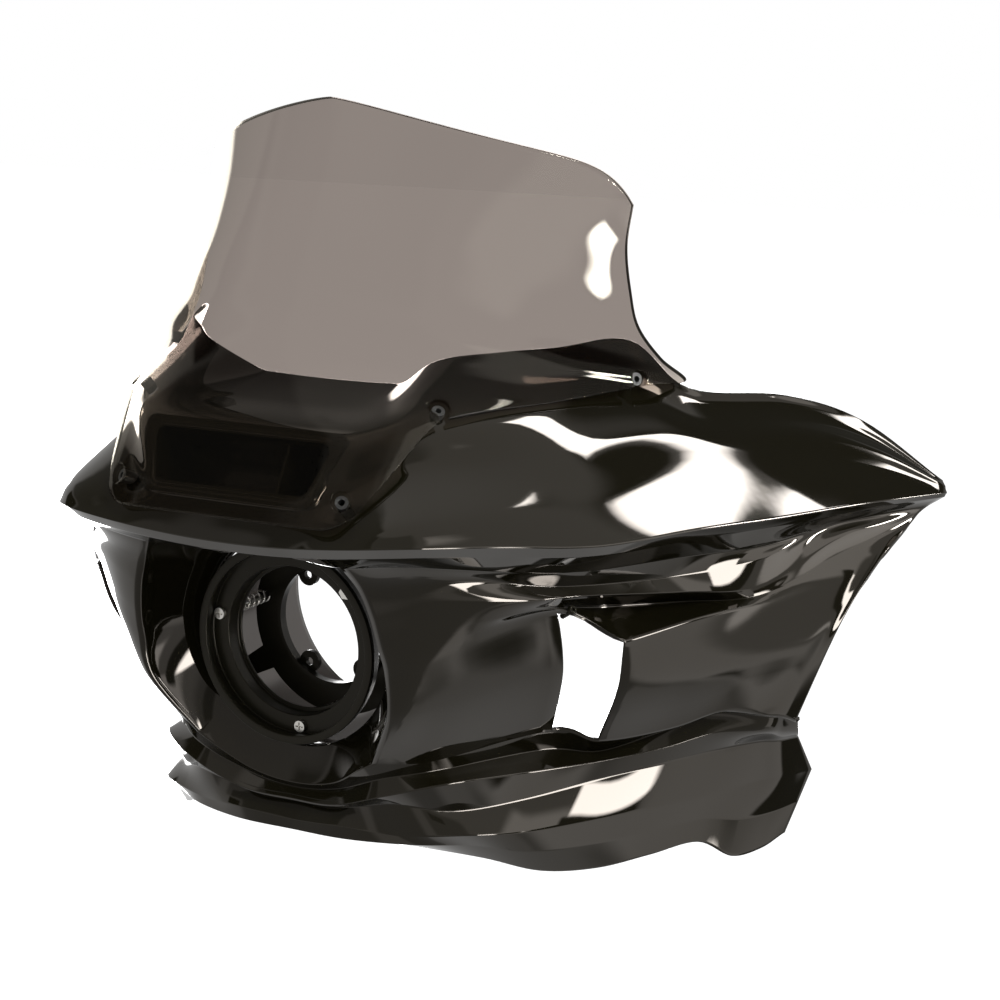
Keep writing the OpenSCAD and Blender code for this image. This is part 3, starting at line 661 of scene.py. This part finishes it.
def build_tunnel():
    """An open sleeve behind the lamp, over part of a turn; it sits on the rear plate's lugs.

    The radius falls evenly from front to back. The rear edge is at y = 160 + 95 w, with
    w = 0.5 - 0.5 cos(pi k) and k from 0 at the side to 1 under the lamp.
    """
    angle = np.radians(np.linspace(TUNNEL_FROM, TUNNEL_TO, TUNNEL_COLS))
    k = np.clip((angle - math.radians(STEP_FROM)) / math.radians(STEP_LEN), 0, 1)
    rear = TUNNEL_REAR + STEP_DEPTH * (0.5 - 0.5 * np.cos(k * math.pi))
    t = np.linspace(0, 1, TUNNEL_ROWS)[:, None]
    y = TUNNEL_Y + (rear - TUNNEL_Y)[None] * t
    r = TUNNEL_R + (TUNNEL_END_R - TUNNEL_R) * t + 0 * y
    walls = [
        np.stack([q * np.cos(angle), y, q * np.sin(angle)], 2).reshape(-1, 3)
        for q in (r, r + TUNNEL_WALL)
    ]
    rows, cols = y.shape
    a = np.arange(rows * cols).reshape(rows, cols)
    b = a + rows * cols
    quads = [strip(a[i + 1], a[i]) for i in range(rows - 1)]
    quads += [strip(b[i], b[i + 1]) for i in range(rows - 1)]
    quads += [strip(a[0], b[0]), strip(b[-1], a[-1])]
    quads += [np.stack([a[:-1, 0], a[1:, 0], b[1:, 0], b[:-1, 0]], 1)]
    quads += [strip(a[:, -1], b[:, -1])]
    return np.concatenate(walls), np.concatenate(quads)


verts, faces = build_tunnel()
make_mesh("lamp_tunnel", verts, faces, RAW, "fairing")


# vent frame
VENT_C, VENT_SLOPE = np.array([0, -55.5, 154.0]), math.radians(30.4)
VENT_CORNERS = np.array([(-68, -23.5), (68, -23.5), (83, 23.5), (-83, 23.5)], float)
VENT_RADIUS = 8
# offset outwards from the slot's edge and height over the deck
VENT_PROFILE = np.array([
    (9, -4), (8.2, -1.2), (7.4, 0.4), (6.2, 1.5), (4.4, 2.3), (2.6, 3.2), (1.4, 3.7), (0.2, 3.8),
    (-0.8, 3.2), (-1.4, 1.8), (-1.9, 0), (-2.6, -6), (-2.9, -14), (-3.2, -24), (-0.8, -24),
    (0.2, -6),
], float)
# the deck falls away beyond this distance from the centre: by SINK over SINK_LEN
SINK_FROM, SINK_LEN, SINK = 62, 28, 2.4


def rounded_loop(corners, radius, arc=12, side=16):
    """Points and outward normals round a convex polygon, counter-clockwise.

    Arcs of one radius touch both sides at each corner, with straight runs of even steps between.
    """
    along = unit(np.roll(corners, -1, 0) - corners)
    normal = np.stack([along[:, 1], -along[:, 0]], 1)
    before = np.roll(normal, 1, 0)
    half = unit(before + normal)
    start = np.arctan2(before[:, 1], before[:, 0])
    turn = (np.arctan2(normal[:, 1], normal[:, 0]) - start) % (2 * math.pi)
    angle = start[:, None] + turn[:, None] * np.linspace(0, 1, arc + 1)
    out = np.stack([np.cos(angle), np.sin(angle)], 2)
    centre = corners - half * (radius / np.sum(half * before, 1))[:, None]
    arcs = centre[:, None] + radius * out
    share = (np.arange(1, side) / side)[None, :, None]
    last, first = arcs[:, -1:], np.roll(arcs[:, :1], -1, 0)
    runs = last + (first - last) * share
    run_out = np.repeat(out[:, -1:], side - 1, 1)
    return np.hstack([arcs, runs]).reshape(-1, 2), np.hstack([out, run_out]).reshape(-1, 2)


def build_vent_frame():
    """The profile swept round the rounded trapezium of the slot on the sloping deck.

    The heights sink by 2.4 ((|x| - 62) / 28)^1.5 beyond 62 mm from the centre, as the deck does.
    """
    P, N = rounded_loop(VENT_CORNERS, VENT_RADIUS)
    flat = P[None] + N[None] * VENT_PROFILE[:, None, :1]
    outside = np.clip(np.abs(flat[..., 0]) - SINK_FROM, 0, None)
    h = VENT_PROFILE[:, 1:] - SINK * (outside / SINK_LEN) ** 1.5
    c, s = math.cos(VENT_SLOPE), math.sin(VENT_SLOPE)
    V = VENT_C + flat[..., :1] * [1, 0, 0] + flat[..., 1:] * [0, s, c] + h[..., None] * [0, -c, s]
    k, m = V.shape[:2]
    loops = np.arange(k * m).reshape(k, m)
    quads = [strip(loops[i], loops[(i + 1) % k], True) for i in range(k)]
    return V.reshape(-1, 3), np.concatenate(quads)


verts, faces = build_vent_frame()
make_mesh("vent_frame", verts, faces, GLOSS, "fairing")


# lamp ring
# the lip's length, the end of the cone behind it and its step; then walls and the turned-in end
LIP_LEN, LIP_BACK, LIP_STEP = 5, 7.5, 2.6
FLANGE_T, COLLAR_T, TURN_IN, TURN_T, RELIEF = 3, 2.2, 3, 2, 1
RING_PROFILE = [
    (SEAT_R, 0), (RING_R, 0), (RING_R, LIP_LEN), (RING_R - LIP_STEP, LIP_BACK),
    (RING_R - LIP_STEP, LEDGE + FLANGE_T), (COLLAR_R + COLLAR_T, LEDGE + FLANGE_T),
    (COLLAR_R + COLLAR_T, RING_DEPTH), (COLLAR_R - TURN_IN, RING_DEPTH),
    (COLLAR_R - TURN_IN, RING_DEPTH - TURN_T), (COLLAR_R, RING_DEPTH - TURN_T),
    (COLLAR_R, LEDGE), (SEAT_R + RELIEF, LEDGE), (SEAT_R + RELIEF, SEAT_LEN), (SEAT_R, SEAT_LEN),
]
RING_ROUND = 0.7


def rounded(profile, cut_back, steps=3):
    """A closed profile whose corners p become (1-t)^2 s + 2t(1-t) p + t^2 e.

    s and e lie on the corner's two sides, cut_back from it or 0.45 of the side if that is less.
    """
    p = np.array(profile, float)
    a, b = np.roll(p, 1, 0) - p, np.roll(p, -1, 0) - p
    la, lb = (np.linalg.norm(d, axis=1, keepdims=True) for d in (a, b))
    k = np.minimum(cut_back, np.minimum(la, lb) * 0.45)
    s, e = (p + a / la * k)[:, None], (p + b / lb * k)[:, None]
    t = np.linspace(0, 1, steps + 1)[:, None]
    return ((1 - t) ** 2 * s + 2 * t * (1 - t) * p[:, None] + t * t * e).reshape(-1, 2)


def lathe(profile, seg=128):
    """A closed profile of (radius, y) turned about the lamp axis: x = r cos a, z = r sin a."""
    a = np.linspace(0, 2 * math.pi, seg, endpoint=False)[:, None]
    r, y = profile.T
    V = np.stack([r * np.cos(a), y + 0 * a, r * np.sin(a)], 2)
    grid = np.arange(V.shape[0] * V.shape[1]).reshape(V.shape[:2])
    beside = np.roll(grid, -1, 0)
    quads = np.stack([grid, beside, np.roll(beside, -1, 1), np.roll(grid, -1, 1)], 2)
    return V.reshape(-1, 3), quads.reshape(-1, 4)


verts, faces = lathe(rounded(RING_PROFILE, RING_ROUND))
make_mesh(
    "lamp_ring_metal", verts, faces, SATIN, "headlamp_carrier", ["lamp_ring"],
)


# pieces that keep the source's mesh
for mat, slot, names in (
    (GLOSS, "gloss_black", ["vent_duct"]),
    (SATIN, "satin_black", ["lamp_carrier", "lamp_plate"]),
    (ZINC, "zinc_steel", [
        "aim_screw_side", "aim_screw_low", "aim_spring_side", "aim_spring_low",
        "aim_nut_side", "aim_nut_low", "pivot_stud", "plate_bolts", "plate_washers",
    ]),
    (NYLON, "nylon", ["pivot_cup"]),
    (RUBBER, "black_rubber", ["well_nuts_front", "well_nuts_mid", "well_nuts_rear"]),
    (SATIN, "black_steel", ["scoop_screw_left", "scoop_screw_right"]),
):
    for name in names:
        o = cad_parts[name]
        o.data.materials.clear()
        o.data.materials.append(mat)


# studio
FLOOR_Z, FLOOR_HALF, FLOOR_GREY, FLOOR_GLOW = -0.45, 7.0, 0.36, 0.83
# strength of the white world for light on surfaces, and as it is seen
WORLD_LIGHT, WORLD_SEEN = 0.6, 1.0
DOME_R = 6.0
# what the gloss reflects, over plain white: name, azimuth (0 in front, 90 right), height, width
# and tallness in degrees, soft edge in degrees, radiance
STUDIO = [
    ("front_low", 20, -55, 150, 60, 10, 0.5),
    ("front_mid", 5, 22, 110, 60, 10, 0.55),
    ("low_right", 108, -66, 60, 22, 8, 1.0),
    ("left_top", -75, 48, 60, 34, 8, 0.25),
    ("left_dark", -72, 16, 42, 26, 5, 0.04),
    ("left_mid", -40, 28, 16, 46, 6, 0.22),
    ("left_low", -95, -22, 54, 16, 6, 1.1),
    ("left_white", -142, -6, 50, 36, 3, 16.0),
    ("behind_left", -147, 36, 24, 50, 8, 0.25),
    ("behind_dark", 150, 46, 74, 14, 5, 0.1),
    ("behind_low", 178, 32, 26, 40, 6, 0.12),
    ("right_dark", 46, 14, 12, 24, 4, 0.22),
    ("panel_glow", 84, -38, 28, 26, 9, 1.9),
    ("bright_right", 82, 20, 22, 34, 6, 3.2),
    ("bright_low", 96, -8, 14, 26, 3, 4.5),
    ("soft_right", 98, 13, 8, 6, 0.8, 180),
    ("slit_right", 78, -8, 7, 34, 1.5, 0.12),
    ("slit_low", 106, -41, 26, 14, 5, 0.1),
    ("soft_lower_right", 67, -11, 14, 32, 0.8, 34),
    ("soft_upper_right", 123.2, 53, 16.5, 7.4, 0.8, 34),
]
# camera: place, azimuth and height in degrees, sensor and lens in millimetres, clipping
CAMERA_AT, CAMERA_TURN = (1.0454, -1.5477, 0.5374), (28.9, 12.8)
CAMERA_SENSOR, CAMERA_LENS, CAMERA_CLIP = 36, 90, (0.05, 50)


def look_along(o, way):
    """Turn a lamp or the camera so that it looks along way."""
    o.rotation_mode = "QUATERNION"
    o.rotation_quaternion = way.to_track_quat("-Z", "Y")


def background_rays(tree):
    """1 for camera, glossy and transmission rays, 0 for the rest."""
    ray = node(tree, "ShaderNodeLightPath").outputs
    seen = calc(tree, "MAXIMUM", ray["Is Camera Ray"], ray["Is Glossy Ray"])
    return calc(tree, "MAXIMUM", seen, ray["Is Transmission Ray"])


def stage_piece(name, verts, quads, mat, unseen):
    """A mesh of the studio, in metres, that some rays don't see."""
    me = bpy.data.meshes.new(name)
    me.from_pydata(verts, [], quads)
    me.materials.append(mat)
    o = bpy.data.objects.new(name, me)
    bpy.context.scene.collection.objects.link(o)
    for ray in unseen:
        setattr(o, "visible_" + ray, False)
    return o


def floor():
    """A wide pale floor: grey under the lamps, plus a glow for the rays that see the background."""
    m, nt = empty_material("floor_white")
    grey = node(nt, "ShaderNodeBsdfDiffuse", {"Color": (*[FLOOR_GREY] * 3, 1)}).outputs["BSDF"]
    glow = {"Color": (*[FLOOR_GLOW] * 3, 1), "Strength": background_rays(nt)}
    glow = node(nt, "ShaderNodeEmission", glow).outputs["Emission"]
    both = node(nt, "ShaderNodeAddShader", {0: grey, 1: glow}).outputs["Shader"]
    node(nt, "ShaderNodeOutputMaterial", {"Surface": both})
    s, z = FLOOR_HALF, FLOOR_Z
    corners = [(-s, -s, z), (s, -s, z), (s, s, z), (-s, s, z)]
    stage_piece("floor", corners, [(0, 1, 2, 3)], m, ["glossy"])


def white_world():
    """White all round, weaker for the light it casts than for the rays that see it."""
    world = bpy.data.worlds.new("studio")
    bpy.context.scene.world = world
    world.use_nodes = True
    nt = world.node_tree
    span = {"Value": background_rays(nt), "To Min": WORLD_LIGHT, "To Max": WORLD_SEEN}
    white = nt.nodes["Background"]
    white.inputs["Color"].default_value = (1, 1, 1, 1)
    nt.links.new(node(nt, "ShaderNodeMapRange", span).outputs["Result"], white.inputs["Strength"])


def studio_dome():
    """A dome seen in reflections only, with a radiance at each point.

    The radiance starts at 1 (white). Each entry blends its own in by m = S(x) S(y), where S is the
    smooth step of (half width + half edge - distance) / edge, in azimuth and in height.
    """
    a, e = np.meshgrid(np.linspace(-180, 180, 361), np.linspace(-90, 90, 181))
    light = np.ones(a.shape)
    for _, az, el, wide, tall, edge, value in STUDIO:
        da = np.abs((a - az + 180) % 360 - 180)
        m = fade((wide / 2 + edge / 2 - da) / edge)
        m = m * fade((tall / 2 + edge / 2 - np.abs(e - el)) / edge)
        light = light * (1 - m) + value * m
    a, e = np.radians(a), np.radians(e)
    V = np.stack([np.sin(a) * np.cos(e), -np.cos(a) * np.cos(e), np.sin(e)], 2) * DOME_R
    g = np.arange(a.size).reshape(a.shape)
    quads = np.stack([g[:-1, :-1], g[1:, :-1], g[1:, 1:], g[:-1, 1:]], 2).reshape(-1, 4)
    m, nt = empty_material("studio_light")
    radiance = node(nt, "ShaderNodeAttribute", attribute_name="light").outputs["Fac"]
    glow = node(nt, "ShaderNodeEmission", {"Strength": radiance}).outputs["Emission"]
    node(nt, "ShaderNodeOutputMaterial", {"Surface": glow})
    unseen = ["camera", "diffuse", "transmission", "shadow"]
    o = stage_piece("studio_dome", V.reshape(-1, 3).tolist(), quads.tolist(), m, unseen)
    o.data.attributes.new("light", "FLOAT", "POINT").data.foreach_set("value", light.ravel())


def softbox(name, place, target, side, power):
    """A square lamp aimed at target, seen in no reflection."""
    lamp = bpy.data.lights.new(name, "AREA")
    lamp.shape = "RECTANGLE"
    lamp.size = lamp.size_y = side
    lamp.energy = power
    o = bpy.data.objects.new(name, lamp)
    o.location = place
    look_along(o, Vector(target) - Vector(place))
    o.visible_glossy = False
    bpy.context.scene.collection.objects.link(o)


def camera():
    """The photograph's own view of the fairing."""
    data = bpy.data.cameras.new("camera")
    data.sensor_width, data.lens = CAMERA_SENSOR, CAMERA_LENS
    data.clip_start, data.clip_end = CAMERA_CLIP
    o = bpy.data.objects.new("camera", data)
    bpy.context.scene.collection.objects.link(o)
    o.location = CAMERA_AT
    az, el = (math.radians(angle) for angle in CAMERA_TURN)
    back = Vector((math.sin(az) * math.cos(el), -math.cos(az) * math.cos(el), math.sin(el)))
    look_along(o, -back)
    bpy.context.scene.camera = o


floor()
white_world()
studio_dome()
softbox("lamp_right", (2.6, -0.6, 1.9), target=(0.2, 0.1, 0.05), side=1.2, power=60)
softbox("lamp_left", (-2.2, -0.4, 1.4), target=(-0.2, 0.1, 0.05), side=1.0, power=40)
camera()
bpy.context.scene.view_settings.view_transform = "Standard"
